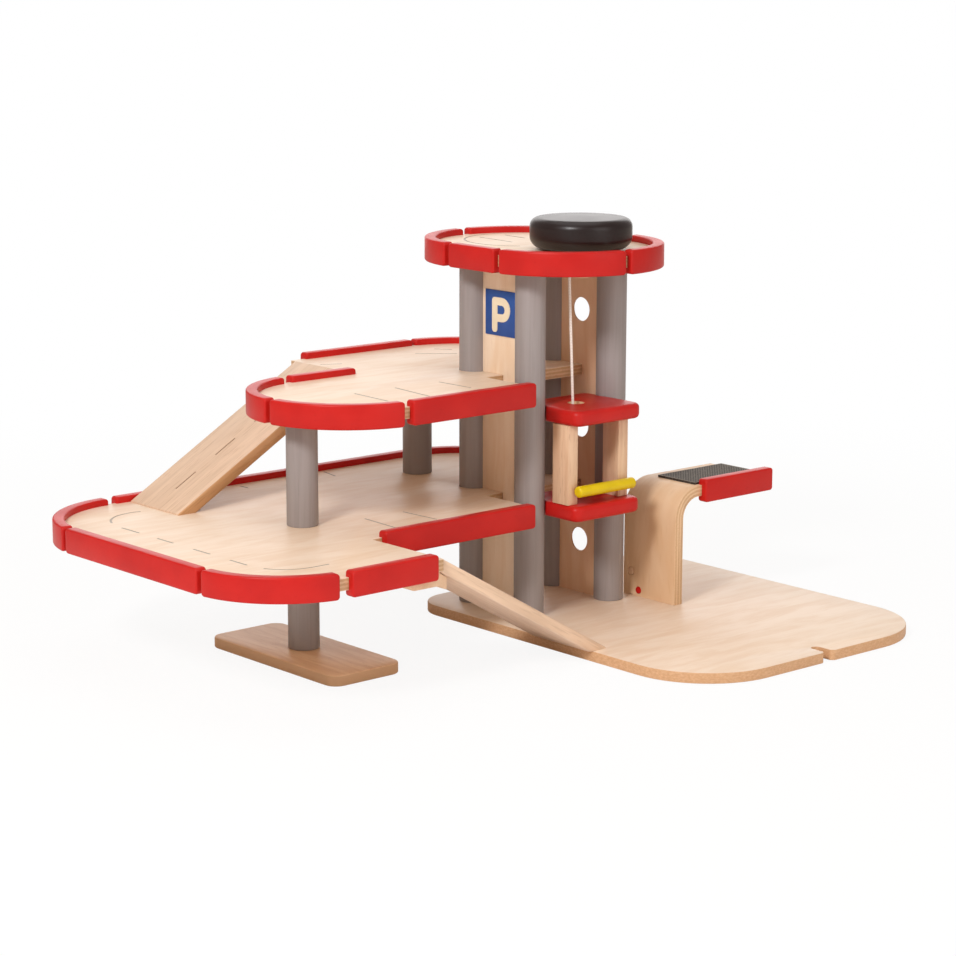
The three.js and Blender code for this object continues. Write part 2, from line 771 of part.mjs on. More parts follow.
function hangingCord() {
  const { at, along } = woundStart();
  const hanger = at.clone().addScaledVector(along, -cordBend)
    .add(new THREE.Vector3(towerCentreX, -dialY, woundBottom - cordBend - cordDiameter - glueGap));
  const recessFloor = liftRest + 2 * liftPlate + liftPostHeight - cordRecessDepth;
  const holder = new THREE.Vector3(towerCentreX - cordHoleLeft, -dialY - cordHoleFront, recessFloor + glueGap);
  const steps = Math.round(hanger.distanceTo(holder) / (cordStepShare * cordDiameter));
  return piece('lift_cord', tube([hanger, holder], cordSides, steps), materials.cord);
}

// Lift car, with z = 0 at its bottom plate's underside
function liftPlateSolid(...tools) {
  const side = liftWidth / 2;
  const outline = rectangle(towerCentreX - side, -liftFront, towerCentreX + side, liftBack, liftCorner);
  const postRoom = (x) => rod(dowelRadius + runningGap, liftPlate + 2 * overrun).translate(x, 0, -overrun);
  return cut(extruded(outline, liftPlate, liftPlateChamfer), postRoom(0), postRoom(towerWidth), ...tools);
}

function topPlate() {
  const x = towerCentreX - cordHoleLeft;
  const y = -dialY - cordHoleFront;
  const recess = rod(cordRecessDiameter / 2, cordRecessDepth + overrun)
    .translate(towerCentreX - cordRecessLeft, y, liftPlate - cordRecessDepth);
  const hole = rod(cordDiameter / 2 + glueGap, liftPlate).translate(x, y, -overrun);
  return liftPlateSolid(recess, hole);
}

function cordKnot() {
  const cord = cordDiameter / 2;
  const ball = knotDiameter / 2;
  const middle = -glueGap - knotHeight / 2;
  const profile = [
    [0, -glueGap - knotHeight], [ball * knotShoulderShare, middle - knotHeight * knotReachShare], [ball, middle],
    [ball * knotShoulderShare, middle + knotHeight * knotReachShare], [cord, -glueGap], [cord, liftPlate - cordRecessDepth],
    [0, liftPlate - cordRecessDepth],
  ];
  return turned(profile, ball);
}

function liftPost(name, x, pinHole) {
  const outline = rectangle(x, -liftPostFront, x + liftPostWidth, liftPostDepth - liftPostFront);
  const block = extruded(outline, liftPostHeight);
  return piece(name, pinHole ? cut(block, pinHole) : block, materials.beech, 0, 0, liftPlate);
}

function gateRod() {
  const radius = gateDiameter / 2;
  const profile = [
    [0, 0], ...arcPoints(radius - gateEdge, gateEdge, gateEdge, -Math.PI / 2, Math.PI / 2).map(({ x, y }) => [x, y]),
    ...arcPoints(radius - gateEdge, gateLength - gateEdge, gateEdge, 0, Math.PI / 2).map(({ x, y }) => [x, y]),
    [0, gateLength],
  ];
  const bar = turned(profile, radius).rotateY(Math.PI / 2).translate(gateTail - gateLength, 0, 0);
  const hole = gatePinDiameter / 2 + glueGap;
  return cut(bar, rodY(hole, gateDiameter + 2 * overrun, 0, -radius - overrun, 0));
}

function liftCar() {
  const left = towerCentreX - liftWidth / 2 + liftPostLeftInset;
  const right = towerCentreX + liftWidth / 2 - liftPostRightInset - liftPostWidth;
  const gateX = right + liftPostWidth / 2;
  const gateY = -liftPostFront - glueGap - gateDiameter / 2;
  const gateBack = gateDiameter + glueGap + gatePinInPost;
  const pin = rodY(gatePinDiameter / 2, gateBack, 0, -gateDiameter / 2, 0);
  const hole = rodY(gatePinDiameter / 2 + glueGap, gatePinInPost + glueGap + overrun,
    gateX, -liftPostFront - overrun, gateHeight - liftPlate);
  return groupOf([
    piece('lift_bottom_plate', liftPlateSolid(), materials.red),
    piece('lift_top_plate', topPlate(), materials.red, 0, 0, liftPlate + liftPostHeight),
    liftPost('lift_post_left', left),
    liftPost('lift_post_right', right, hole),
    piece('cord_knot', cordKnot(), materials.cord, towerCentreX - cordHoleLeft, -dialY - cordHoleFront,
      liftPlate + liftPostHeight),
    piece('gate_rod', gateRod(), materials.yellow, gateX, gateY, gateHeight),
    piece('gate_pin', pin, materials.steel, gateX, gateY, gateHeight),
  ], 0, 0, liftRest);
}

// Bent ply shelf, its rim, its mat and the two plugs in its leg
function shelfProfile() {
  const centreX = shelfLegX + shelfBend;
  const centreZ = shelfHeight - shelfBend;
  const inner = shelfBend - plyThickness;
  return [
    new THREE.Vector2(shelfLegX, 0), new THREE.Vector2(shelfLegX + plyThickness, 0),
    ...arcPoints(centreX, centreZ, inner, Math.PI, -Math.PI / 2),
    new THREE.Vector2(shelfEnd, shelfHeight - plyThickness), new THREE.Vector2(shelfEnd, shelfHeight),
    ...arcPoints(centreX, centreZ, shelfBend, Math.PI / 2, Math.PI / 2),
  ];
}

function shelf() {
  const front = plyInset - shelfRimFront;
  const width = shelfBack - front;
  const flatStart = shelfLegX + shelfBend;
  const board = acrossY(extruded(shelfProfile(), width), width).translate(0, front, 0);
  const inLeg = pinLength - pinProud;
  const bore = (diameter, y, z) => (
    rodX(diameter / 2 + glueGap, inLeg + glueGap + overrun, shelfLegX - overrun, y, z));
  const matFront = rimThickness + glueGap - shelfRimFront;
  const rimPath = straight(flatStart + shelfRimLead, -shelfRimFront, shelfRimEnd, -shelfRimFront);
  const bored = cut(board, bore(pinDiameter, -pinY, pinHeight), bore(plugDiameter, -plugY, plugHeight));
  const mat = extruded(rectangle(flatStart, matFront, matEnd, -matBack), matThickness);
  const pin = rodX(pinDiameter / 2, pinLength, 0, 0, 0);
  const plug = rodX(plugDiameter / 2, inLeg, 0, 0, 0);
  return [
    piece('shelf', bored, materials.ply),
    rim('shelf_rim', rimPath, shelfHeight),
    piece('shelf_mat', mat, materials.mat, 0, 0, shelfHeight),
    piece('shelf_pin', pin, materials.red, shelfLegX - pinProud, -pinY, pinHeight),
    piece('shelf_plug', plug, materials.beech, shelfLegX, -plugY, plugHeight),
  ];
}

// The whole garage, moved so that the middle of its outer box stands at the origin, on z = 0
const middleX = (baseRight - midDeckLeft) / 2;
const middleY = (deckBack - baseFront) / 2;
const garage = new THREE.Group();
garage.add(groupOf([
  baseBoard(),
  footBoard(),
  ...tower(),
  ...sidePosts(),
  midDeck(),
  ...midRims(),
  upperDeck(),
  ...upperRims(),
  topDeck(),
  ...topRims(),
  ...ramps(),
  windingGear(),
  hangingCord(),
  liftCar(),
  ...shelf(),
], -middleX, -middleY, boardThickness));

console.log(`wound cord: least gap to itself ${leastWoundGap().toFixed(2)} mm`);

export default garage;
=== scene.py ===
"""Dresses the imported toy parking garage: wood, paint, cord and engraved lanes round the fixed frame."""
import math

import bpy
from mathutils import Matrix, Vector


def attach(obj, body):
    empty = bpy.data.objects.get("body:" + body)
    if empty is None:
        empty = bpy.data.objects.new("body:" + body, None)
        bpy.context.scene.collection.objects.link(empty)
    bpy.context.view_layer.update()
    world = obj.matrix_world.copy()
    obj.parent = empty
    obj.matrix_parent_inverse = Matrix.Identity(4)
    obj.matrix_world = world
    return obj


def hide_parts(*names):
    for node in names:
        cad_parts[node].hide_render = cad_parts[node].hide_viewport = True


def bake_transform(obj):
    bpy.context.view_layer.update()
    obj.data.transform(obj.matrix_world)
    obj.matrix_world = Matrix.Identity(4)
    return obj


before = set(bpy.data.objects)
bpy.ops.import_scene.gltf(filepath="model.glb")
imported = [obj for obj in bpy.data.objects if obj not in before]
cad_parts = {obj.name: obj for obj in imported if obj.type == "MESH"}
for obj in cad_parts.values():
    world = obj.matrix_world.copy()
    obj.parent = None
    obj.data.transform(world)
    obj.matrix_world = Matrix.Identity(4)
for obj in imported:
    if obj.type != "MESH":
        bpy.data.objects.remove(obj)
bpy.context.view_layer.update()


# View: the garage is seen from the front left and a little above, through a long lens.
# The camera has a square frame and looks 11.5 degrees down.
camera = bpy.data.objects.new("camera", bpy.data.cameras.new("camera"))
bpy.context.collection.objects.link(camera)
camera_spot = (-1.3932, -1.5914, 0.5693)
camera_turn, camera_tilt, camera_roll = (math.radians(angle) for angle in (41.048, 11.55, 0.115))
camera.data.sensor_width = 36
camera.data.lens = 100.02
camera.matrix_world = (
    Matrix.Translation(camera_spot)
    @ Matrix.Rotation(-camera_turn, 4, "Z")
    @ Matrix.Rotation(math.pi / 2 - camera_tilt, 4, "X")
    @ Matrix.Rotation(camera_roll, 4, "Z")
)
bpy.context.scene.camera = camera
bpy.context.scene.view_settings.view_transform = "Standard"


# Lift cord: limp white cotton, 2.3 mm thick. It is wound on the spool under the top deck, hangs
# taut from it, and goes down through the lift car's top plate to a knot.
class Shade:
    """A socket in a material's nodes; sums and products on it add Math nodes."""

    def __init__(self, tree, socket=None):
        self.tree, self.socket = tree, socket

    def node(self, kind, inputs, settings=None, stops=(), output=0):
        made = self.tree.nodes.new("ShaderNode" + kind)
        for name, value in (settings or {}).items():
            setattr(made, name, value)
        for index, (position, colour) in enumerate(stops):
            elements = made.color_ramp.elements
            element = elements[index] if index < 2 else elements.new(position)
            element.position, element.color = position, colour
        for name, value in inputs.items():
            if isinstance(value, Shade):
                self.tree.links.new(value.socket, made.inputs[name])
            else:
                made.inputs[name].default_value = value
        return Shade(self.tree, made.outputs[output])

    def math(self, operation, first, second=0.0):
        return self.node("Math", {0: first, 1: second}, {"operation": operation})

    def __add__(self, other):
        return self.math("ADD", self, other)

    def __sub__(self, other):
        return self.math("SUBTRACT", self, other)

    def __rsub__(self, other):
        return self.math("SUBTRACT", other, self)

    def __mul__(self, other):
        return self.math("MULTIPLY", self, other)

    __radd__, __rmul__ = __add__, __mul__

    def ranged(self, low, high):
        """Rises smoothly from 0 at low to 1 at high."""
        return self.node("MapRange", {"Value": self, "From Min": low, "From Max": high},
                         {"interpolation_type": "SMOOTHSTEP"})

    def mix(self, first, second):
        """The first colour where this is 0, and the second where it is 1."""
        return self.node("Mix", {0: self, 6: first, 7: second}, {"data_type": "RGBA"}, output=2)

    def position(self):
        return self.node("TexCoord", {}, output="Object")

    def axes(self, place):
        """The three numbers of a place, in millimetres."""
        scaled = self.node("VectorMath", {0: place, 3: 1000.0}, {"operation": "SCALE"})
        return [self.node("SeparateXYZ", {0: scaled}, output=axis) for axis in range(3)]

    def noise(self, place, stretch, detail=3.0, distortion=0.0):
        """Noise with its size along each axis given as how often it repeats in a metre."""
        scaled = self.node("Mapping", {"Vector": place, "Scale": stretch})
        return self.node("TexNoise", {"Vector": scaled, "Scale": 1.0, "Detail": detail,
                                      "Distortion": distortion})

    def bump(self, height, depth):
        """Relief from a height of 0 to 1, for a real depth in metres."""
        return self.node("Bump", {"Height": height, "Strength": 1.0, "Distance": depth})


def finish(name, draw, **fixed):
    """A material: draw gives the sockets that change over the surface, and fixed gives the others."""
    made = bpy.data.materials.new(name)
    made.use_nodes = True
    shader = made.node_tree.nodes["Principled BSDF"]
    for socket, value in {**draw(Shade(made.node_tree)), **fixed}.items():
        socket = shader.inputs[socket.replace("_", " ")]
        if isinstance(value, Shade):
            made.node_tree.links.new(value.socket, socket)
        else:
            socket.default_value = value
    return made


def colour(red, green, blue):
    """A colour from its 0 to 255 screen values."""
    return (*(((part / 255 + 0.055) / 1.055) ** 2.4 for part in (red, green, blue)), 1.0)


post_foot_x, post_foot_y, post_foot_z = 61.25, 13.75, 9


def place(x, y, z):
    """A point of the frame, from millimetres counted from the front left post's foot."""
    return Vector((x + post_foot_x, y + post_foot_y, z + post_foot_z)) / 1000


def alone(obj):
    """Selects one object and nothing else."""
    bpy.ops.object.select_all(action="DESELECT")
    obj.select_set(True)
    bpy.context.view_layer.objects.active = obj


def tidy(obj):
    """Merges what meets, and turns the faces outwards."""
    alone(obj)
    bpy.ops.object.mode_set(mode="EDIT")
    bpy.ops.mesh.select_all(action="SELECT")
    bpy.ops.mesh.remove_doubles(threshold=1e-6)
    bpy.ops.mesh.normals_make_consistent(inside=False)
    bpy.ops.object.mode_set(mode="OBJECT")


def fit(obj, body, slot, material, *nodes, smooth=35):
    """Puts a finished piece on its body, in place of the CAD nodes that it stands for."""
    alone(obj)
    bpy.ops.object.shade_smooth_by_angle(angle=math.radians(smooth))
    obj.data.materials.clear()
    obj.data.materials.append(material)
    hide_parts(*nodes)
    if body:
        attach(obj, body)
    return obj


def tube(name, points, radius):
    """A round cord along a path of points, its radius in metres."""
    curve = bpy.data.curves.new(name, "CURVE")
    curve.dimensions = "3D"
    curve.bevel_depth = radius
    curve.bevel_resolution = 5
    curve.use_fill_caps = True
    spline = curve.splines.new("POLY")
    spline.points.add(len(points) - 1)
    for spot, point in zip(spline.points, points):
        spot.co = (*point, 1)
    obj = bpy.data.objects.new(name, curve)
    bpy.context.collection.objects.link(obj)
    alone(obj)
    bpy.ops.object.convert(target="MESH")
    tidy(bpy.context.object)
    return bpy.context.object


def draw_cotton(shade):
    spot = shade.position()
    x, y, z = shade.axes(spot)
    lay = shade.math("SINE", z * 2.6 + x * 1.9 + y * 1.9)
    fluff = shade.noise(spot, (900, 900, 900))
    dark, pale = colour(228, 217, 208), colour(246, 238, 231)
    return {
        "Base Color": (lay * 0.12 + 0.4 + fluff * 0.3).ranged(0.2, 0.9).mix(dark, pale),
        "Normal": shade.bump(lay * 0.3 + fluff, 0.0001),
    }


cotton = finish("cotton", draw_cotton, Roughness=0.85)
cord_radius, cord_steps = 1.15, 24
hole_x, hole_y, recess_floor = 37.25, -12.5, 172.5
cord_top = place(36.0, -8.05, 281.35)
cord_foot = place(hole_x, hole_y, recess_floor)
cord_path = [cord_top.lerp(cord_foot, step / cord_steps) for step in range(cord_steps + 1)]
hanging_cord = tube("hanging_cord", cord_path, cord_radius / 1000)
fit(hanging_cord, None, "cord", cotton, "lift_cord")
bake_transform(hanging_cord)

spool_x, spool_y = 46.25, -10.5
wound_radius, wound_bottom, wound_pitch, wound_turns, wound_bend = 9.45, 288.25, 2.75, 2, 4.6
turn_steps, bend_steps, end_steps = 48, 8, 4
leave = math.radians(192.5)
leave_x = spool_x + wound_radius * math.cos(leave) + wound_bend * math.sin(leave)
leave_y = spool_y + wound_radius * math.sin(leave) - wound_bend * math.cos(leave)
wound_path = [place(leave_x, leave_y, wound_bottom - wound_bend - 2 * cord_radius)]
for step in range(bend_steps):
    swing = math.pi / 2 * step / bend_steps
    lag = wound_bend * (1 - math.cos(swing))
    wound_path.append(place(leave_x - lag * math.sin(leave), leave_y + lag * math.cos(leave),
                            wound_bottom - wound_bend * (1 - math.sin(swing))))
for step in range(wound_turns * turn_steps + end_steps):
    turn = leave + math.tau * step / turn_steps
    wound_path.append(place(spool_x + wound_radius * math.cos(turn), spool_y + wound_radius * math.sin(turn),
                            wound_bottom + wound_pitch * step / turn_steps))
fit(tube("cord_on_spool", wound_path, cord_radius / 1000), "winder", "cord", cotton, "wound_cord")

knot_steps, knot_cord_radius = 96, 1.0
knot_spread, knot_depth, knot_middle = 0.6, 1.35, 162.6
knot_path = []
for step in range(knot_steps + 1):
    turn = math.tau * step / knot_steps
    knot_path.append(place(
        hole_x + knot_spread * (math.sin(turn) + 2 * math.sin(2 * turn)),
        hole_y + knot_spread * (math.cos(turn) - 2 * math.cos(2 * turn)),
        knot_middle - knot_depth * math.sin(3 * turn)))
knot = tube("knot_under_plate", knot_path, knot_cord_radius / 1000)
stem_path = [place(hole_x, hole_y, height) for height in (162.5, 165, 169, recess_floor)]
stem = tube("stem", stem_path, cord_radius / 1000)
stem.select_set(True)
knot.select_set(True)
bpy.context.view_layer.objects.active = knot
bpy.ops.object.join()
fit(knot, "lift", "cord", cotton, "cord_knot")


# Studio: a white floor that keeps a soft shadow, an even surround, three soft lamps, and a bright
# backdrop that only shines in the paint.
white = (1, 1, 1, 1)
floor_radius, floor_drop, floor_grey = 7, 0.0002, (0.95, 0.95, 0.95, 1)
fade_start, fade_end, shadow_kept = 0.35, 1.2, 0.1
surround_light, surround_shine = (0.52, 0.455, 0.39, 1), (0.4, 0.35, 0.33, 1)
lamp_aim = Vector((0, 0, 0.15))
bpy.ops.object.select_all(action="DESELECT")
bpy.ops.mesh.primitive_circle_add(
    vertices=96, radius=floor_radius, fill_type="NGON", location=(0, 0, -floor_drop))
floor = bpy.context.object
floor.name = "floor"
floor_paint = bpy.data.materials.new("floor_paint")
floor_paint.use_nodes = True
floor_nodes = floor_paint.node_tree
floor_shade = Shade(floor_nodes)
floor_shader = floor_nodes.nodes["Principled BSDF"]
floor_shader.inputs["Base Color"].default_value = floor_grey
floor_shader.inputs["Roughness"].default_value = 0.9
floor_far = floor_shade.node(
    "VectorMath", {0: floor_shade.position()}, {"operation": "LENGTH"}, output="Value")
floor_bare = floor_far.ranged(fade_start, fade_end) * shadow_kept + (1 - shadow_kept)
floor_seen = floor_shade.node("LightPath", {}, output="Is Camera Ray") * floor_bare
floor_white = floor_shade.node("Emission", {"Color": white, "Strength": 1.0})
floor_mix = floor_shade.node("MixShader", {
    0: floor_seen, 1: Shade(floor_nodes, floor_shader.outputs[0]), 2: floor_white})
floor_nodes.links.new(floor_mix.socket, floor_nodes.nodes["Material Output"].inputs["Surface"])
floor.data.materials.append(floor_paint)

world = bpy.data.worlds.new("surround")
bpy.context.scene.world = world
world.use_nodes = True
surround = Shade(world.node_tree)
seen = surround.node("LightPath", {}, output="Is Camera Ray")
mirrored = surround.node("LightPath", {}, output="Is Glossy Ray")
glow = seen.mix(mirrored.mix(surround_light, surround_shine), white)
world.node_tree.links.new(glow.socket, world.node_tree.nodes["Background"].inputs["Color"])

for name, spot, size, power in (
    ("key", (-1.95, -0.75, 1.65), 0.45, 35),
    ("fill", (0.2, -2.2, 1.0), 1.4, 9),
    ("top", (0.1, 0.2, 1.9), 1.5, 7),
    ("backdrop", (1.75, 1.95, 0.75), 2.2, 23),
):
    lamp = bpy.data.objects.new(name, bpy.data.lights.new(name, "AREA"))
    bpy.context.collection.objects.link(lamp)
    lamp.data.size = size
    lamp.data.energy = power
    lamp.location = spot
    lamp.rotation_euler = (lamp_aim - Vector(spot)).to_track_quat("-Z", "Y").to_euler()
    lamp.visible_camera = False
    lamp.visible_diffuse = name != "backdrop"


# Base board: 9 mm ply with a round front, a slot in its front edge for the next board's tab, and a
# clear satin lacquer. Its face veneers are pale, and its edge is an even tan.
def copied(node, name):
    """A merged copy of a CAD node's mesh, its flat faces made whole."""
    obj = bpy.data.objects.new(name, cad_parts[node].data.copy())
    bpy.context.collection.objects.link(obj)
    alone(obj)
    bpy.ops.mesh.customdata_custom_splitnormals_clear()
    bpy.ops.object.mode_set(mode="EDIT")
    bpy.ops.mesh.select_all(action="SELECT")
    bpy.ops.mesh.remove_doubles(threshold=1e-6)
    bpy.ops.mesh.dissolve_limited(angle_limit=math.radians(0.5))
    bpy.ops.object.mode_set(mode="OBJECT")
    return obj


def pick(obj, kind, wanted):
    """Goes into edit mode with only the wanted edges or faces selected."""
    alone(obj)
    bpy.context.tool_settings.mesh_select_mode = (False, kind == "EDGE", kind == "FACE")
    bpy.ops.object.mode_set(mode="EDIT")
    bpy.ops.mesh.select_all(action="DESELECT")
    bpy.ops.object.mode_set(mode="OBJECT")
    for part in obj.data.edges if kind == "EDGE" else obj.data.polygons:
        part.select = wanted(obj, part)
    bpy.ops.object.mode_set(mode="EDIT")


def spans(axis):
    """Says of an edge whether it runs along the axis, 0 to 2."""
    def wanted(obj, edge):
        first, last = (obj.data.vertices[index].co for index in edge.vertices)
        return abs(first[axis] - last[axis]) > 0.9 * (first - last).length
    return wanted


def applied(obj, kind, **settings):
    """Adds a modifier and applies it."""
    modifier = obj.modifiers.new(kind, kind)
    for name, value in settings.items():
        setattr(modifier, name, value)
    alone(obj)
    bpy.ops.object.modifier_apply(modifier=modifier.name)


def eased(obj, radius, segments=2, angle=40, clamp=True):
    """Rounds every edge that turns by more than the angle."""
    applied(obj, "BEVEL", width=radius / 1000, segments=segments, limit_method="ANGLE",
            angle_limit=math.radians(angle), use_clamp_overlap=clamp)


def rounded(obj, radius, segments, wanted):
    """Rounds the wanted edges."""
    pick(obj, "EDGE", wanted)
    bpy.ops.mesh.bevel(offset=radius / 1000, segments=segments, affect="EDGES", clamp_overlap=False)
    bpy.ops.object.mode_set(mode="OBJECT")


def settle(obj):
    """Moves an object's place, turn and scale into its mesh."""
    alone(obj)
    bpy.ops.object.transform_apply(location=True, rotation=True, scale=True)


arc_step = 2.5


def swept(name, near, far, low, high, line=None, arc=None, longer=0.0):
    """A bar between two distances inwards from a path and between two heights. The path is a straight
    line, an arc (x, y, radius, first and last degrees), or a line and then an arc, and the bar runs
    on past both ends of the path by longer."""
    if arc:
        x, y, radius, first, last = arc
        last += math.degrees(longer / radius)
        first -= 0 if line else math.degrees(longer / radius)
        angle = math.radians(first)
        start = Vector((x + radius * math.cos(angle), y + radius * math.sin(angle)))
        along = Vector((-math.sin(angle), math.cos(angle)))
    if line:
        along = (Vector(line[1]) - Vector(line[0])).normalized()
        start = Vector(line[0]) - along * longer
        end = Vector(line[1]) + along * (0 if arc else longer)
    inwards = Vector((-along.y, along.x))
    middle = start + inwards * (near + far) / 2
    bpy.ops.object.select_all(action="DESELECT")
    bpy.ops.mesh.primitive_plane_add(size=1)
    obj = bpy.context.object
    obj.name = name
    obj.matrix_world = (
        Matrix.Translation(place(middle.x, middle.y, (low + high) / 2))
        @ Matrix(((inwards.x, 0, along.x), (inwards.y, 0, along.y), (0, 1, 0))).to_4x4()
        @ Matrix.Diagonal(((far - near) / 1000, (high - low) / 1000, 1, 1))
    )
    settle(obj)
    bpy.ops.object.mode_set(mode="EDIT")
    bpy.ops.mesh.select_all(action="SELECT")
    if line:
        move = (end - start).to_3d() / 1000
        bpy.ops.mesh.extrude_region_move(TRANSFORM_OT_translate={"value": move})
    if arc:
        steps = max(2, math.ceil((last - first) / arc_step))
        bpy.ops.mesh.spin(
            steps=steps, angle=-math.radians(last - first), center=place(x, y, 0), axis=(0, 0, 1))
    bpy.ops.object.mode_set(mode="OBJECT")
    tidy(obj)
    return obj


def without(obj, *tools):
    """Cuts tools away from a piece, and removes them."""
    for tool in tools:
        applied(obj, "BOOLEAN", object=tool, operation="DIFFERENCE", solver="EXACT")
        bpy.data.objects.remove(tool)


lacquer = {"Coat_Weight": 0.08, "Coat_Roughness": 0.3}
veneer_pairs, line_tone = 3, (172, 159, 146)


def draw_ply(depth, thickness, stretch, pale, tan, lines=0.32):
    """Ply from its depth below the face, in mm. stretch is how often the face's grain repeats, and
    lines how strongly the edge shows its layers. Faces marked engraved are the floors of cut lines."""
    def draw(shade):
        spot = shade.position()
        below = depth(shade, *shade.axes(spot))
        cloud = shade.noise(spot, tuple(part * 0.8 + 6 for part in stretch), 2.0, 0.8)
        streak = shade.noise(spot, tuple(part * 3.5 for part in stretch), 3.0, 0.4)
        pores = shade.noise(spot, tuple(part * 9 for part in stretch), 2.0)
        face = (cloud * 0.8 + streak * 0.2).ranged(0.34, 0.68).mix(colour(*pale), colour(
            pale[0] - 9, pale[1] - 15, pale[2] - 21))
        face = (pores.ranged(0.58, 0.75) * 0.16).mix(face, colour(pale[0] - 36, pale[1] - 52, pale[2] - 66))
        layers = shade.math("SINE", below * (math.tau * veneer_pairs / thickness) + 1.6)
        grit = shade.noise(spot, (420, 420, 900), 3.0)
        edge = (layers * lines + grit * 0.9).ranged(0.2, 0.8).mix(
            colour(tan[0] - 22, tan[1] - 27, tan[2] - 29), colour(*tan))
        inside = below.ranged(0.12, 0.45) * (thickness - below).ranged(0.12, 0.45)
        cut = shade.node("Attribute", {}, {"attribute_name": "engraved"}, output="Fac")
        return {
            "Base Color": cut.mix(inside.mix(face, edge), colour(*line_tone)),
            "Roughness": streak * 0.16 + 0.4,
            "Normal": shade.bump(pores * 0.3 + streak * 0.3 + layers * inside * lines, 0.0002),
        }
    return draw


def level_ply(name, top, thickness, pale=(241, 221, 200), tan=(222, 186, 147), lines=0.32):
    """The ply of a level board whose top is at the given height; its grain runs along X."""
    face = top + post_foot_z
    return finish(name, draw_ply(
        lambda shade, x, y, z: face - z, thickness, (9, 60, 60), pale, tan, lines), **lacquer)


board_thickness = 9
base_board = copied("base_board", "base_board_ply")
eased(base_board, 0.9)
fit(base_board, "garage", "ply", level_ply(
    "base_ply", 0, board_thickness, pale=(240, 221, 201), tan=(222, 180, 140), lines=0.0), "base_board")


# Foot board: solid beech, 9 mm thick, that stands under the loop's post, which is glued on it. Its
# edges are eased, and its sawn sides are darker than its face: partly their own tone, partly
# painted shade.
def draw_beech(stretch, pale=(226, 186, 146), dark=(196, 146, 102), flecked=0.3):
    def draw(shade):
        spot = shade.position()
        rings = shade.noise(spot, stretch, 4.0, 0.8)
        flecks = shade.noise(spot, tuple(part * 7 for part in stretch), 2.0)
        body = rings.ranged(0.3, 0.7).mix(colour(*pale), colour(*dark))
        return {
            "Base Color": (flecks.ranged(0.6, 0.72) * flecked).mix(
                body, colour(dark[0] - 40, dark[1] - 44, dark[2] - 42)),
            "Roughness": rings * 0.15 + 0.4,
            "Normal": shade.bump(flecks * 0.6 + rings * 0.3, 0.00015),
        }
    return draw


def draw_foot(shade):
    """Beech that is darker below the edges of its face: partly the sawn sides' own tone, partly painted
    shade.
    """
    drawn = draw_beech((120, 16, 120), (234, 197, 160), (220, 178, 140))(shade)
    x, y, z = shade.axes(shade.position())
    face = z.ranged(board_thickness - 1.0, board_thickness - 0.3)
    return {**drawn, "Base Color": face.mix(colour(204, 162, 124), drawn["Base Color"])}


foot_board = copied("foot_board", "foot_board_beech")
eased(foot_board, 1.2, 3)
fit(foot_board, "garage", "beech", finish("foot_wood", draw_foot), "foot_board")


# Dowel posts: one inch birch dowels, stained grey. The tower's four stand on the base board, and
# each has a groove down its side that takes the wall's edge.
dowel_radius, post_top = 12.7, 296.5
tower_width, tower_depth = 92.5, 70.2
wall_thickness, wall_inset, wall_rebate, overrun = 5, 1.2, 4, 5
mid_level, upper_level, top_level, ply_thickness = 100.5, 200.75, 306, 9.5


def draw_stain(shade):
    spot = shade.position()
    grain = shade.noise(spot, (260, 260, 9), 4.0, 0.6)
    checks = shade.noise(spot, (700, 700, 22), 2.0)
    body = grain.ranged(0.3, 0.7).mix(colour(156, 148, 147), colour(149, 141, 140))
    return {
        "Base Color": (checks.ranged(0.64, 0.74) * 0.15).mix(body, colour(104, 98, 98)),
        "Roughness": grain * 0.15 + 0.42,
        "Normal": shade.bump(grain * 0.5 + checks * 0.5, 0.00007),
    }


stain = finish("grey_stain", draw_stain)


def round_bar(name, x, y, low, high, radius, ease=0.8, sides=72, segments=2, top=None):
    """An upright turned piece with eased ends. Where it tapers, top is its upper radius."""
    bpy.ops.object.select_all(action="DESELECT")
    bpy.ops.mesh.primitive_cone_add(vertices=sides, radius1=radius / 1000, radius2=(top or radius) / 1000,
                                    depth=(high - low) / 1000, location=place(x, y, (low + high) / 2))
    obj = bpy.context.object
    obj.name = name
    settle(obj)
    if ease:
        eased(obj, ease, segments, 60)
    return obj


def block(name, low, high):
    """A square block between two corners."""
    bpy.ops.object.select_all(action="DESELECT")
    low, high = place(*low), place(*high)
    bpy.ops.mesh.primitive_cube_add(size=1, location=(low + high) / 2, scale=high - low)
    obj = bpy.context.object
    obj.name = name
    settle(obj)
    return obj


for name, x, y, side in (
    ("front_left", 0, 0, 1),
    ("front_right", tower_width, 0, 1),
    ("back_left", 0, tower_depth, -1),
    ("back_right", tower_width, tower_depth, -1),
):
    post = round_bar("tower_dowel_" + name, x, y, 0, post_top, dowel_radius)
    near, far = sorted((y + side * (dowel_radius - wall_rebate), y + side * (dowel_radius + overrun)))
    middle = x - wall_inset if x else wall_inset
    without(post, block("groove", (middle - wall_thickness / 2, near, -overrun),
                        (middle + wall_thickness / 2, far, post_top + overrun)))
    fit(post, "garage", "grey_paint", stain, "tower_post_" + name)
for name, x, y, low, high in (
    ("loop_post_lower", -205, 42, 0, mid_level - ply_thickness),
    ("loop_post_upper", -205, 42, mid_level, upper_level - ply_thickness),
    ("back_post", 0, 146, mid_level, upper_level - ply_thickness),
):
    fit(round_bar(name + "_dowel", x, y, low, high, dowel_radius), "garage", "grey_paint", stain, name)


# Tower walls: 5 mm ply between the front and back dowels, grain upright; the right one has three
# round windows, one above the other, that are chamfered on the outside.
window_radius, window_from_front, window_height, window_pitch = 10.25, 33.5, 47, 100.5
chamfer_radius, chamfer_inside, chamfer_outside = 9.25, -2, 2.6


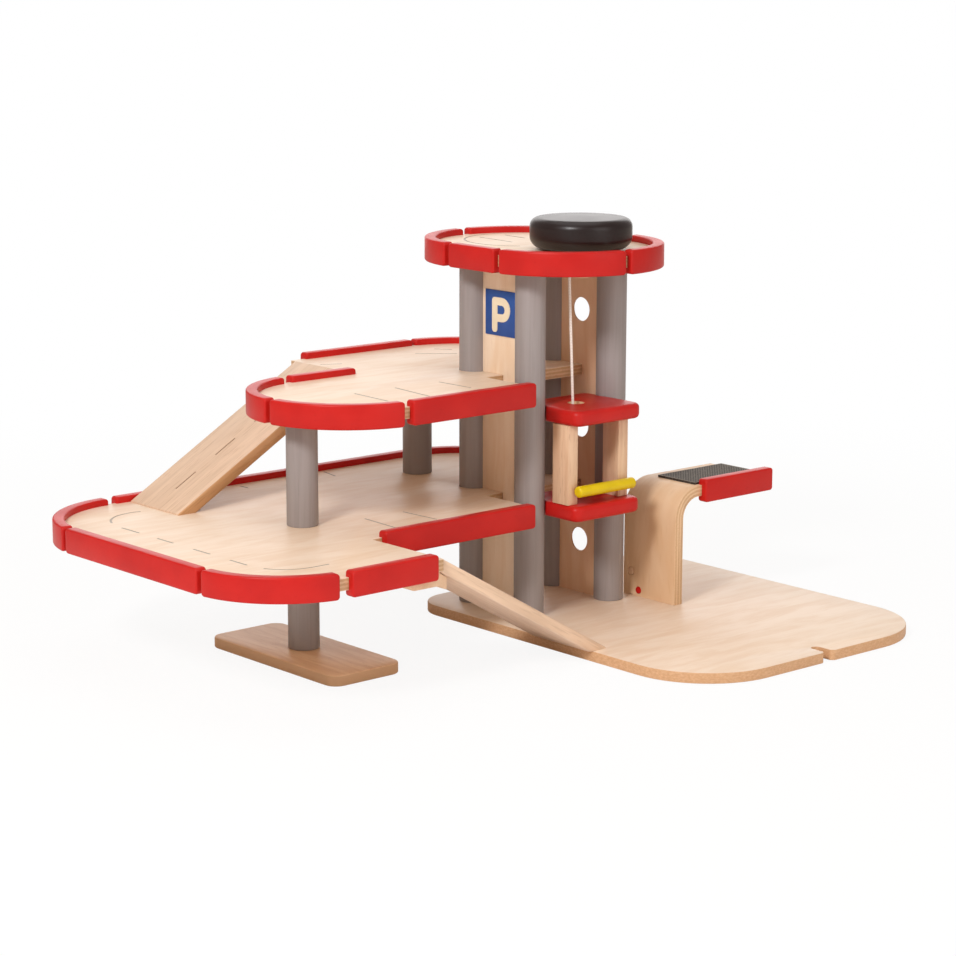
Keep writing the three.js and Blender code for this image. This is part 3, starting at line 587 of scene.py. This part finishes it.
def draw_wall(outer, pale):
    """Upright ply, its depth counted along X from the face nearer the left."""
    return draw_ply(lambda shade, x, y, z: x - outer, wall_thickness, (60, 60, 7), pale, (214, 168, 124))


def lying(obj, axis, spot):
    """Lays an upright bar, drawn about the plan's origin, along X or Y at a place."""
    turned = Matrix.Rotation(math.pi / 2, 4, "Y" if axis == "X" else "X")
    obj.data.transform(Matrix.Translation(place(*spot)) @ turned @ Matrix.Translation(-place(0, 0, 0)))
    return obj


# Both walls are the same ply. The left one's colour is painted lighter, as painted light from the lamp on
# the left, and the right one's darker, as painted shade inside the tower.
for name, x, windows, pale in (
    ("left", wall_inset, 0, (252, 230, 206)),
    ("right", tower_width - wall_inset, 3, (240, 203, 170)),
):
    wall = copied("tower_wall_" + name, "tower_ply_" + name)
    for window in range(windows):
        spot = (x, window_from_front, window_height + window * window_pitch)
        bore = round_bar("bore", 0, 0, -2 * wall_thickness, 2 * wall_thickness, window_radius, 0)
        chamfer = round_bar("chamfer", 0, 0, chamfer_inside, chamfer_outside, chamfer_radius, 0,
                            top=chamfer_radius + chamfer_outside - chamfer_inside)
        without(wall, lying(bore, "X", spot), lying(chamfer, "X", spot))
    eased(wall, 0.4)
    outer = x + post_foot_x - wall_thickness / 2
    fit(wall, "garage", "ply", finish("wall_ply_" + name, draw_wall(outer, pale), **lacquer),
        "tower_wall_" + name)


# Parking sign: a square blue print on the left wall with a plain cream letter P, whose stem has
# round corners. Each is a thin flat plate that is glued on.
def draw_flat(body, shift):
    """One even colour, a little darker in patches by the shift."""
    def draw(shade):
        spot = shade.position()
        mottle = shade.noise(spot, (60, 60, 60), 3.0)
        return {
            "Base Color": mottle.ranged(0.3, 0.7).mix(
                colour(*body), colour(*(part - shift for part in body))),
            "Normal": shade.bump(shade.noise(spot, (600, 600, 120), 2.0), 0.00008),
        }
    return draw


sign_side, sign_front, sign_bottom = 38, 15.5, 233.4
sign_face, sign_back = -2.3, -1.3
letter_front, letter_bottom, letter_width, letter_height, letter_round = 22.3, 236.1, 22.4, 29.4, 3.1
sign = block("sign_plate", (sign_face, sign_front, sign_bottom),
             (sign_back, sign_front + sign_side, sign_bottom + sign_side))
eased(sign, 0.25)
fit(sign, "garage", "blue_paint", finish("blue_print", draw_flat((38, 84, 160), 10), Roughness=0.45),
    "parking_sign")
letter = copied("parking_letter", "sign_letter")


def stem_corner(obj, edge):
    """The stem's two bottom corners and its top one, away from the bowl."""
    corner = obj.data.vertices[edge.vertices[0]].co
    low = place(0, letter_front, letter_bottom)
    high = place(0, letter_front + letter_width, letter_bottom + letter_height)
    top_corner = corner.z > high.z - 1e-4 and corner.y > high.y - 1e-4
    return spans(0)(obj, edge) and (corner.z < low.z + 1e-4 or top_corner)


rounded(letter, letter_round, 6, stem_corner)
fit(letter, "garage", "cream_paint", finish("cream_print", draw_flat((243, 229, 201), 8), Roughness=0.5),
    "parking_letter")


# Decks: 9.5 mm ply, held in the rims' grooves. Lane, parking and landing lines are engraved in
# their tops with a fine cutter, which leaves them a greyish brown.
cut_width, cut_depth = 1.8, 0.3


def mark_cuts(board, sunk):
    """Marks the faces of cut lines, of which a corner is sunk below the board's face."""
    cut = board.data.attributes.new("engraved", "FLOAT", "FACE")
    for face in board.data.polygons:
        cut.data[face.index].value = any(sunk(board.data.vertices[index].co) for index in face.vertices)


def engrave(board, level, strokes):
    """Cuts thin lines: each stroke is the line or the arc that swept takes."""
    cutters = [swept("cutter", -cut_width / 2, cut_width / 2, level - cut_depth, level + 2, **{
        "line" if len(stroke) == 2 else "arc": stroke}) for stroke in strokes]
    for cutter in cutters:
        cutter.select_set(True)
    bpy.context.view_layer.objects.active = cutters[0]
    if len(cutters) > 1:
        bpy.ops.object.join()
    without(board, bpy.context.view_layer.objects.active)
    floor_z = place(0, 0, level - cut_depth).z
    mark_cuts(board, lambda corner: abs(corner.z - floor_z) < 1e-5)


# Each stroke is a line between two places, or an arc: x, y, radius, first and last degrees.
lane_x = -320.5
mid_lines = [((lane_x, first), (lane_x, last)) for first, last in (
    (126, 101.5), (76.5, 54.8), (27.9, 5.9), (-19.8, -41.1))]
mid_lines += [
    (-286.5, -44, 34, 204, 269.9), ((-286.5, -78.2), (-272, -78.2)), (-284, 133.5, 35, 75, 160),
    ((-153.2, 27.8), (-155.8, -15.4)), ((-113.4, 27.7), (-110.9, -12.2)),
    ((-61.5, 199.5), (-65.5, 178.7)), ((-153.3, 197.5), (-153.1, 186.4)),
]
upper_lines = [
    ((-152.6, 40.7), (-154.7, -4.5)), ((-110.3, 41.3), (-115.3, -8.2)), ((-64.6, 39.9), (-63.4, 1.4)),
    ((17, 169), (45, 145)), ((47, 179), (56, 165)), ((-84, 174), (-67, 166)),
]
top_lines = [(60, 76, 50, 20, 225), ((43, 113.6), (39.3, 67)), ((70.3, 110.9), (68, 82.5))]
for name, level, strokes in (
    ("mid", mid_level, mid_lines),
    ("upper", upper_level, upper_lines),
    ("top", top_level, top_lines),
):
    deck = copied(name + "_deck", name + "_deck_ply")
    eased(deck, 0.4)
    engrave(deck, level, strokes)
    fit(deck, "garage", "ply", level_ply(name + "_ply", level, ply_thickness), name + "_deck")


# Rims: red painted bars of solid wood round the decks, 20 mm high and 9.5 mm thick, with rounded
# edges and a groove along the inside that is glued on the ply. The curved ones are sawn to the arc.
def draw_red(shade):
    spot = shade.position()
    cloud = shade.noise(spot, (26, 26, 26), 3.0)
    grain = shade.noise(spot, (240, 240, 500), 3.0)
    body = cloud.ranged(0.3, 0.7).mix(colour(200, 30, 25), colour(188, 25, 22))
    return {
        "Base Color": (grain.ranged(0.62, 0.75) * 0.2).mix(body, colour(160, 20, 20)),
        "Roughness": cloud * 0.1 + 0.33,
        "Normal": shade.bump(grain * 0.6 + cloud * 0.4, 0.00012),
    }


red = finish("red_paint", draw_red, Specular_IOR_Level=0.25)
rim_height, rim_thickness, groove_depth = 20, 9.5, 4.5
end_round, side_round = 2.8, 1.4


def rim(node, level, **path):
    """A grooved bar along a path on a deck's outer edge, inwards from which it is measured."""
    low = level - ply_thickness - (rim_height - ply_thickness) / 2
    bar = swept(node + "_bar", 0, rim_thickness, low, low + rim_height, **path)
    caps = {key for face in bar.data.polygons for key in face.edge_keys
            if abs(face.area * 1e6 - rim_thickness * rim_height) < 0.1}
    rounded(bar, end_round, 5, lambda obj, edge: edge.key in caps and not spans(2)(obj, edge))
    eased(bar, side_round, 3, 60, clamp=False)
    without(bar, swept("groove", rim_thickness - groove_depth, rim_thickness + overrun,
                       level - ply_thickness, level, longer=overrun, **path))
    fit(bar, "garage", "red_paint", red, node)


rim_joint, wide_joint = 5, 8
deck_left, deck_right, deck_front, deck_back = -368.5, 120, -126, 214
lane_front, lane_rim_end, divider_y = -40, -28.5, 124
deck_radius, back_left_radius = 82, 87.5
corner_gap = math.degrees(rim_joint / deck_radius)
rim("mid_rim_left", mid_level, line=((deck_left, 133.5), (deck_left, -44)))
rim("mid_rim_front_left_corner", mid_level, arc=(
    deck_left + deck_radius, deck_front + deck_radius, deck_radius, 180 + corner_gap, 261.94))
rim("mid_rim_front_strip", mid_level, line=((-287, deck_front), (-204.4, deck_front)))
rim("mid_rim_front", mid_level, line=((-186.2, lane_front), (lane_rim_end, lane_front)))
rim("mid_rim_back_short", mid_level, line=((44, deck_back), (-75.5, deck_back)))
rim("mid_rim_back_long", mid_level, line=((-80.5, deck_back), (-273, deck_back)))
rim("mid_rim_back_left_corner", mid_level, arc=(
    deck_left + back_left_radius, deck_back - back_left_radius, back_left_radius, 90, 172.12))
for prefix, level in (("mid", mid_level), ("upper", upper_level)):
    rim(prefix + "_rim_right", level, line=((deck_right, 37.5), (deck_right, 127)))
    rim(prefix + "_rim_back_right_corner", level, arc=(
        deck_right - deck_radius, deck_back - deck_radius, deck_radius, 0, 90 - 2 * corner_gap))

loop_x, loop_y, loop_joint = -157.7, lane_front + deck_radius, 181
rim("upper_rim_loop_back", upper_level, arc=(
    loop_x, loop_y, deck_radius, 97.22, loop_joint - corner_gap / 2))
rim("upper_rim_loop_front", upper_level, arc=(
    loop_x, loop_y, deck_radius, loop_joint + corner_gap / 2, 270 - math.degrees(wide_joint / deck_radius)))
rim("upper_rim_front", upper_level, line=((loop_x, lane_front), (lane_rim_end, lane_front)))
rim("upper_rim_divider", upper_level, line=((-92, divider_y), (-159, divider_y)))
rim("upper_rim_back", upper_level, line=((44, deck_back), (-75.4, deck_back)))

top_radius, top_x, top_front_y, top_back_y = 83, tower_width / 2, 9.5, 61.5
top_left, top_right = top_x - top_radius, top_x + top_radius
top_left_joint, top_front_joint = 183.45, 266.4
top_gap = math.degrees(rim_joint / top_radius)
rim("top_rim_left", top_level, line=((top_left, top_back_y), (top_left, top_front_y)),
    arc=(top_x, top_front_y, top_radius, 180, top_left_joint))
rim("top_rim_front_left", top_level, arc=(
    top_x, top_front_y, top_radius, top_left_joint + top_gap, top_front_joint - top_gap / 2))
rim("top_rim_front_right", top_level, arc=(
    top_x, top_front_y, top_radius, top_front_joint + top_gap / 2, 360))
rim("top_rim_right", top_level, line=((top_right, top_front_y + rim_joint), (top_right, top_back_y)))
rim("top_rim_back_right", top_level, arc=(
    top_x, top_back_y, top_radius, top_gap, 90 + top_gap / 2 - math.degrees(wide_joint / top_radius)))
rim("top_rim_back_left", top_level, arc=(top_x, top_back_y, top_radius, 90 + top_gap / 2, 180 - top_gap))


# Ramps: 10 mm solid beech at 30 degrees, the grain down the slope, with a thin lower tip. Each
# rests on a beech cleat that is glued under the deck's edge. The big one has a dashed line.
ramp_slope, ramp_half_width = math.radians(30), 34.5
small_ramp_y, big_ramp_y, big_ramp_top = -84.5, 168.5, -89.3
dash_count, dash_start, dash_pitch = 4, -229, 40.3
dash_length, dash_width, dash_depth = 23.2, 1.3, 0.4
beech_along_y = finish("beech_along_y", draw_beech((120, 16, 120), (236, 200, 166), (224, 184, 148)))


def draw_ramp(turn, middle, pale, side):
    """Beech with its grain down the slope, in its own colour on the two long sides."""
    def draw(shade):
        spot = shade.position()
        x, y, z = shade.axes(spot)
        along = shade.node("VectorRotate", {"Vector": spot, "Angle": turn}, {"rotation_type": "Y_AXIS"})
        rings = shade.noise(along, (9, 110, 110), 4.0, 0.7)
        flecks = shade.noise(along, (40, 700, 700), 2.0)
        face = rings.ranged(0.3, 0.7).mix(colour(*pale), colour(*(part - 13 for part in pale)))
        sawn = rings.ranged(0.3, 0.7).mix(colour(*side), colour(*(part - 20 for part in side)))
        outwards = shade.math("ABSOLUTE", y - (middle + post_foot_y))
        wood = outwards.ranged(ramp_half_width - 0.9, ramp_half_width - 0.2).mix(face, sawn)
        flecked = (flecks.ranged(0.55, 0.7) * 0.3).mix(wood, colour(*(part - 56 for part in side)))
        cut = shade.node("Attribute", {}, {"attribute_name": "engraved"}, output="Fac")
        return {
            "Base Color": cut.mix(flecked, colour(160, 130, 108)),
            "Roughness": rings * 0.15 + 0.4,
            "Normal": shade.bump(flecks * 0.5 + rings * 0.3, 0.00015),
        }
    return draw


def down_slope(obj, edge):
    """The ramp's long edges, which run down the slope."""
    first, last = (obj.data.vertices[index].co for index in edge.vertices)
    return abs(first.z - last.z) > 0.4 * (first - last).length and abs(first.x - last.x) > 0.02


big_ramp = copied("big_ramp", "big_ramp_beech")
rounded(big_ramp, 1.0, 3, down_slope)
eased(big_ramp, 0.6)
for step in range(dash_count):
    x = dash_start + step * dash_pitch
    height = upper_level + (x - big_ramp_top) * math.tan(ramp_slope)
    bpy.ops.object.select_all(action="DESELECT")
    bpy.ops.mesh.primitive_cube_add(
        size=1, location=place(x, big_ramp_y, height), rotation=(0, -ramp_slope, 0),
        scale=(dash_length / 1000, dash_width / 1000, 2 * dash_depth / 1000))
    without(big_ramp, bpy.context.object)
ramp_top = place(big_ramp_top, big_ramp_y, upper_level)


def on_dash_floor(corner):
    """A corner near the ramp's middle line, and a dash's depth below its face."""
    below = (corner.x - ramp_top.x) * math.sin(ramp_slope) - (corner.z - ramp_top.z) * math.cos(ramp_slope)
    return abs(corner.y - ramp_top.y) < 0.001 and abs(below - dash_depth / 1000) < 0.0001


mark_cuts(big_ramp, on_dash_floor)
fit(big_ramp, "garage", "beech", finish("ramp_wood_big", draw_ramp(
    ramp_slope, big_ramp_y, (229, 199, 173), (208, 160, 114)), **lacquer), "big_ramp")
small_ramp = copied("small_ramp", "small_ramp_beech")
rounded(small_ramp, 2.4, 5, down_slope)
eased(small_ramp, 0.8)
# The small ramp's beech is painted lighter than the big ramp's, on its face and its sides, as painted light
# on its shaded front side and underside.
fit(small_ramp, "garage", "beech", finish("ramp_wood_small", draw_ramp(
    -ramp_slope, small_ramp_y, (240, 210, 186), (240, 208, 180)), **lacquer), "small_ramp")
for node in ("small_ramp_cleat", "big_ramp_cleat"):
    cleat = copied(node, node + "_beech")
    eased(cleat, 0.8)
    fit(cleat, "garage", "beech", beech_along_y, node)


# Winding dial: a turned disc of wood in black gloss paint, with well rounded edges. It turns on a
# beech washer, and its axle goes down through the top deck to the spool that takes the cord.
def draw_black(shade):
    spot = shade.position()
    cloud = shade.noise(spot, (40, 40, 40), 3.0)
    return {
        "Base Color": cloud.ranged(0.3, 0.7).mix(colour(32, 17, 15), colour(26, 13, 12)),
        "Roughness": cloud * 0.08 + 0.33,
        "Normal": shade.bump(shade.noise(spot, (150, 150, 400), 3.0), 0.00008),
    }


def at_height(height):
    """Says of an edge whether it lies at a height."""
    level = place(0, 0, height).z
    return lambda obj, edge: all(
        abs(obj.data.vertices[index].co.z - level) < 1e-5 for index in edge.vertices)


def bored(obj, low, high):
    """Bores the axle's hole in a piece of the winding gear."""
    without(obj, round_bar("bore", spool_x, spool_y, low, high, axle_radius + 0.3, 0))


dial_radius, dial_bottom, dial_top, dial_sides = 42.5, 307.5, 333, 144
axle_radius, axle_bottom, axle_top = 5, 283.2, 322.5
washer_radius, washer_top = 12, 307.2
flange_radius, flange_bottom, flange_top, flange_reach = 13, 295.2, 296.2, 5
beech_along_z = finish("beech_along_z", draw_beech((120, 120, 10), (232, 198, 166), (214, 172, 138), 0.45))
dial = round_bar("dial_disc", spool_x, spool_y, dial_bottom, dial_top, dial_radius, 0, dial_sides)
for height, radius in ((dial_top, 7.5), (dial_bottom, 9.9)):
    rounded(dial, radius, 12, at_height(height))
bored(dial, dial_bottom - overrun, axle_top)
fit(dial, "winder", "black_paint", finish(
    "black_gloss", draw_black, Specular_IOR_Level=0.4, Coat_Weight=0.12, Coat_Roughness=0.25), "dial")
washer = round_bar("dial_washer_ring", spool_x, spool_y, top_level, washer_top, washer_radius, 0.3)
bored(washer, top_level - overrun, washer_top + overrun)
fit(washer, "garage", "beech", beech_along_z, "dial_washer")
axle = round_bar("axle_dowel", spool_x, spool_y, axle_bottom, axle_top, axle_radius, 0.5, 48)
fit(axle, "winder", "beech", beech_along_z, "dial_axle")
spool = round_bar("cord_spool", spool_x, spool_y, flange_bottom, flange_top, flange_radius, 0)
pick(spool, "FACE", lambda obj, face: face.normal.z < -0.9)
bpy.ops.mesh.inset(thickness=flange_reach / 1000, use_boundary=True)
bpy.ops.mesh.extrude_region_move(
    TRANSFORM_OT_translate={"value": (0, 0, (axle_bottom - flange_bottom) / 1000)})
bpy.ops.object.mode_set(mode="OBJECT")
bored(spool, axle_bottom - overrun, flange_top + overrun)
eased(spool, 0.25)
fit(spool, "winder", "beech", beech_along_z, "spool")


# Lift car: two red plates with well rounded edges, notched for the front dowels, and two beech
# posts. The cord goes through a bare recess in the top plate.
plate_left, plate_right, plate_front, plate_back, plate_thickness = 8.75, 83.75, -48.5, 22, 13
plate_corner, plate_nose, post_gap = 8, 4, 1
recess_x, recess_radius, bare_wood = 40.5, 7, (226, 188, 150)
floor_bottom, roof_bottom = 85.5, 165.5
side_width, side_front, side_back = 10.8, -36.5, -17.3


def plate(name, low):
    """A plate of the car, with round corners and edges, notched for the two front dowels."""
    obj = block(name, (plate_left, plate_front, low), (plate_right, plate_back, low + plate_thickness))
    rounded(obj, plate_corner, 8, spans(2))
    eased(obj, plate_nose, 6, 60, clamp=False)
    without(obj, *(round_bar("notch", x, 0, low - overrun, low + plate_thickness + overrun,
                             dowel_radius + post_gap, 0, 96) for x in (0, tower_width)))
    eased(obj, 0.4, 2, 50)
    return obj


def draw_roof(shade):
    """Red paint, with bare wood in the recess."""
    drawn = draw_red(shade)
    x, y, z = shade.axes(shade.position())
    across, along = x - (recess_x + post_foot_x), y - (hole_y + post_foot_y)
    outside = (across * across + along * along).ranged(recess_radius ** 2 + 0.3, recess_radius ** 2 + 1.5)
    floor_height = recess_floor + post_foot_z
    bare = (1.0 - outside) * z.ranged(floor_height - 0.5, floor_height - 0.1)
    return {**drawn, "Base Color": bare.mix(drawn["Base Color"], colour(*bare_wood))}


fit(plate("lift_floor", floor_bottom), "lift", "red_paint", red, "lift_bottom_plate")
lift_roof = plate("lift_roof", roof_bottom)
roof_top = roof_bottom + plate_thickness
recess = round_bar("recess", recess_x, hole_y, recess_floor, roof_top + overrun, recess_radius, 0)
hole = round_bar("hole", hole_x, hole_y, roof_bottom - overrun, roof_top + overrun, cord_radius + 0.3, 0)
without(lift_roof, recess, hole)
fit(lift_roof, "lift", "red_paint", finish("roof_paint", draw_roof, Specular_IOR_Level=0.3),
    "lift_top_plate")
for name, x in (("left", 10), ("right", 67.3)):
    side = block("lift_side_" + name, (x, side_front, floor_bottom + plate_thickness),
                 (x + side_width, side_back, roof_bottom))
    eased(side, 0.5)
    fit(side, "lift", "beech", beech_along_z, "lift_post_" + name)


# Gate: a painted yellow rod with round ends across the lift car's front. It swings up on a steel
# pin that is driven into the car's right post.
gate_x, gate_y, gate_z = 72.7, -41.55, 110.0
gate_radius, gate_half, gate_past_pin, gate_round = 4.75, 32.25, 7.4, 2.3
pin_radius, pin_half, pin_y = 1.5, 8.6, -35.1
pin_hole_radius, pin_hole_half, pin_hole_y = 1.8, 10, gate_y + 7.5
rod = lying(round_bar("gate_bar", 0, 0, -gate_half, gate_half, gate_radius, gate_round, 64, 6), "X",
            (gate_x + gate_past_pin - gate_half, gate_y, gate_z))
without(rod, lying(round_bar("hole", 0, 0, -pin_hole_half, pin_hole_half, pin_hole_radius, 0, 32), "Y",
                   (gate_x, pin_hole_y, gate_z)))
fit(rod, "gate", "yellow_paint", finish(
    "yellow_paint", draw_flat((228, 200, 12), 10), Roughness=0.35, Specular_IOR_Level=0.35), "gate_rod")
pin = lying(round_bar("gate_steel_pin", 0, 0, -pin_half, pin_half, pin_radius, 0.4, 32), "Y",
            (gate_x, pin_y, gate_z))
fit(pin, "lift", "steel", finish("steel", draw_flat((190, 190, 192), 20), Roughness=0.3, Metallic=1.0),
    "gate_pin")


# Service shelf: ply bent over a form into a leg and a shelf, with a red rim on its front edge and a
# dark rubber mat with fine dots. A beech plug and a red pin close the two holes in its leg.
bend_x, bend_z, bend_radius, shelf_level = 143, 74, 27, 101
rim_left, rim_right, rim_front = 147, 230.6, -62


def bent_depth(shade, x, y, z):
    """Depth below the outer face, which runs up the leg, round the bend and along the top."""
    across = shade.math("MAXIMUM", bend_x + post_foot_x - x, 0.0)
    up = shade.math("MAXIMUM", z - (bend_z + post_foot_z), 0.0)
    return bend_radius - shade.math("SQRT", across * across + up * up)


shelf = copied("shelf", "shelf_ply")
eased(shelf, 0.5)
fit(shelf, "garage", "ply", finish("shelf_ply", draw_ply(
    bent_depth, ply_thickness, (12, 40, 6), (233, 201, 167), (232, 198, 160)), **lacquer),
    "shelf", smooth=30)
rim("shelf_rim", shelf_level, line=((rim_left, rim_front), (rim_right, rim_front)))
for node, material, slot in (("shelf_pin", red, "red_paint"), ("shelf_plug", beech_along_y, "beech")):
    peg = copied(node, node + "_peg")
    eased(peg, 0.3, 2, 60)
    fit(peg, "garage", slot, material, node)

mat_left, mat_front, mat_length, mat_width, mat_thickness = 143, -52.2, 78.5, 44.2, 2
mat_border, mat_cuts, dot_turn, dot_depth = 1.5, 95, 2.1, 0.35
mat_level = shelf_level + mat_thickness
mat = block("ribbed_mat", (mat_left, mat_front, shelf_level),
            (mat_left + mat_length, mat_front + mat_width, mat_level))
pick(mat, "FACE", lambda obj, face: face.normal.z > 0.9)
bpy.ops.mesh.inset(thickness=0.0012)
bpy.ops.mesh.subdivide(number_cuts=mat_cuts)
bpy.ops.object.mode_set(mode="OBJECT")
mat_corner = place(mat_left, mat_front, mat_level)
for vertex in mat.data.vertices:
    x, y, z = 1000 * (vertex.co - mat_corner)
    inside = mat_border < x < mat_length - mat_border and mat_border < y < mat_width - mat_border
    if z > -0.01 and inside:
        vertex.co.z -= dot_depth / 1000 * (0.5 - 0.5 * math.sin(x * dot_turn) * math.sin(y * dot_turn))


def draw_mat(shade):
    spot = shade.position()
    x, y, z = shade.axes(spot)
    speck = shade.noise(spot, (700, 700, 700), 3.0)
    top = mat_level + post_foot_z
    # Lighter on the raised tops of the dots and of the border, and in specks.
    pale_tops_and_specks = z.ranged(top - 0.25, top - 0.02) * 0.55 + speck.ranged(0.5, 0.75) * 0.4
    return {
        "Base Color": pale_tops_and_specks.mix(colour(48, 42, 38), colour(150, 142, 128)),
        "Normal": shade.bump(speck, 0.0002),
    }


fit(mat, "garage", "mat", finish("rubber", draw_mat, Roughness=0.7), "shelf_mat")
